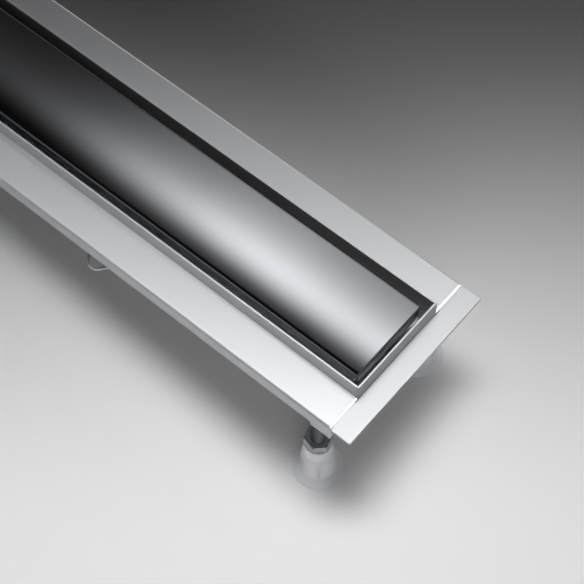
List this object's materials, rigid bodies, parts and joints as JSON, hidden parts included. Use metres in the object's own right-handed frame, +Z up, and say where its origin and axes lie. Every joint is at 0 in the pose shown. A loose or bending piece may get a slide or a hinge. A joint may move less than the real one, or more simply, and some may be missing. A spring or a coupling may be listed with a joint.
{
  "type": "channel drain",
  "caption": "Long shower drain: flanged stainless channel with a raised rim, a polished cover, an odour trap and levelling feet.",
  "frame": {"origin": "on the floor that the feet stand on, under the middle of the channel", "axes": "+X along the channel, away from the outlet spigot; +Y across it; +Z up"},
  "size_m": [0.83, 0.1386, 0.112],
  "materials": {
    "satin_stainless": "satin, cold-rolled",
    "polished_stainless": "mirror polished",
    "strainer_stainless": "satin",
    "zinc_plated_steel": "zinc plated",
    "black_steel_thread": "rolled thread, dull",
    "natural_polypropylene": "moulded, slightly translucent",
    "grey_polypropylene": "moulded",
    "black_rubber": "moulded"
  },
  "bodies": {
    "channel": {"back_rail": "satin_stainless", "clamp_band": "satin_stainless", "clamp_nut": "zinc_plated_steel", "clamp_screw": "zinc_plated_steel", "cover_plate": "polished_stainless", "cover_support_1": "satin_stainless", "cover_support_2": "satin_stainless", "cover_support_3": "satin_stainless", "cover_support_4": "satin_stainless", "end_rail_far": "satin_stainless", "end_rail_near": "satin_stainless", "fixing_lug_back_far": "satin_stainless", "fixing_lug_back_near": "satin_stainless", "fixing_lug_front_far": "satin_stainless", "fixing_lug_front_near": "satin_stainless", "front_rail": "satin_stainless", "insert_ring": "black_rubber", "leg_bracket_back_far": "satin_stainless", "leg_bracket_back_near": "satin_stainless", "leg_bracket_front_far": "satin_stainless", "leg_bracket_front_near": "satin_stainless", "leg_bush_back_far": "zinc_plated_steel", "leg_bush_back_near": "zinc_plated_steel", "leg_bush_front_far": "zinc_plated_steel", "leg_bush_front_near": "zinc_plated_steel", "outlet_socket": "satin_stainless", "strainer": "strainer_stainless", "support_pad_back_1": "black_rubber", "support_pad_back_2": "black_rubber", "support_pad_back_3": "black_rubber", "support_pad_back_4": "black_rubber", "support_pad_front_1": "black_rubber", "support_pad_front_2": "black_rubber", "support_pad_front_3": "black_rubber", "support_pad_front_4": "black_rubber", "trap_body": "grey_polypropylene", "trap_cup": "grey_polypropylene", "trap_insert": "grey_polypropylene", "trap_lid": "grey_polypropylene", "trap_outlet": "grey_polypropylene", "trap_seal": "black_rubber", "trough": "satin_stainless", "trough_end_far": "satin_stainless", "trough_end_near": "satin_stainless"},
    "foot_front_near": {"foot_front_near": "natural_polypropylene"},
    "spindle_front_near": {"spindle_front_near": "black_steel_thread", "spindle_nut_front_near": "zinc_plated_steel"},
    "foot_back_near": {"foot_back_near": "natural_polypropylene"},
    "spindle_back_near": {"spindle_back_near": "black_steel_thread", "spindle_nut_back_near": "zinc_plated_steel"},
    "foot_front_far": {"foot_front_far": "natural_polypropylene"},
    "spindle_front_far": {"spindle_front_far": "black_steel_thread", "spindle_nut_front_far": "zinc_plated_steel"},
    "foot_back_far": {"foot_back_far": "natural_polypropylene"},
    "spindle_back_far": {"spindle_back_far": "black_steel_thread", "spindle_nut_back_far": "zinc_plated_steel"}
  },
  "joints": [
    {"name": "level_front_near", "type": "slide", "parent": "channel", "child": "foot_front_near", "axis": [0, 0, -1], "range_m": [0, 0.01]},
    {"name": "turn_front_near", "type": "hinge", "parent": "foot_front_near", "child": "spindle_front_near", "pos_m": [0.382, -0.0525, 0.04], "axis": [0, 0, -1], "range_deg": [0, 2400]},
    {"name": "level_back_near", "type": "slide", "parent": "channel", "child": "foot_back_near", "axis": [0, 0, -1], "range_m": [0, 0.01]},
    {"name": "turn_back_near", "type": "hinge", "parent": "foot_back_near", "child": "spindle_back_near", "pos_m": [0.382, 0.0525, 0.04], "axis": [0, 0, -1], "range_deg": [0, 2400]},
    {"name": "level_front_far", "type": "slide", "parent": "channel", "child": "foot_front_far", "axis": [0, 0, -1], "range_m": [0, 0.01]},
    {"name": "turn_front_far", "type": "hinge", "parent": "foot_front_far", "child": "spindle_front_far", "pos_m": [-0.382, -0.0525, 0.04], "axis": [0, 0, -1], "range_deg": [0, 2400]},
    {"name": "level_back_far", "type": "slide", "parent": "channel", "child": "foot_back_far", "axis": [0, 0, -1], "range_m": [0, 0.01]},
    {"name": "turn_back_far", "type": "hinge", "parent": "foot_back_far", "child": "spindle_back_far", "pos_m": [-0.382, 0.0525, 0.04], "axis": [0, 0, -1], "range_deg": [0, 2400]}
  ],
  "couplings": [
    {"joint": "turn_front_near", "follows": "level_front_near", "rad_per_m": 4188.8},
    {"joint": "turn_back_near", "follows": "level_back_near", "rad_per_m": 4188.8},
    {"joint": "turn_front_far", "follows": "level_front_far", "rad_per_m": 4188.8},
    {"joint": "turn_back_far", "follows": "level_back_far", "rad_per_m": 4188.8}
  ]
}
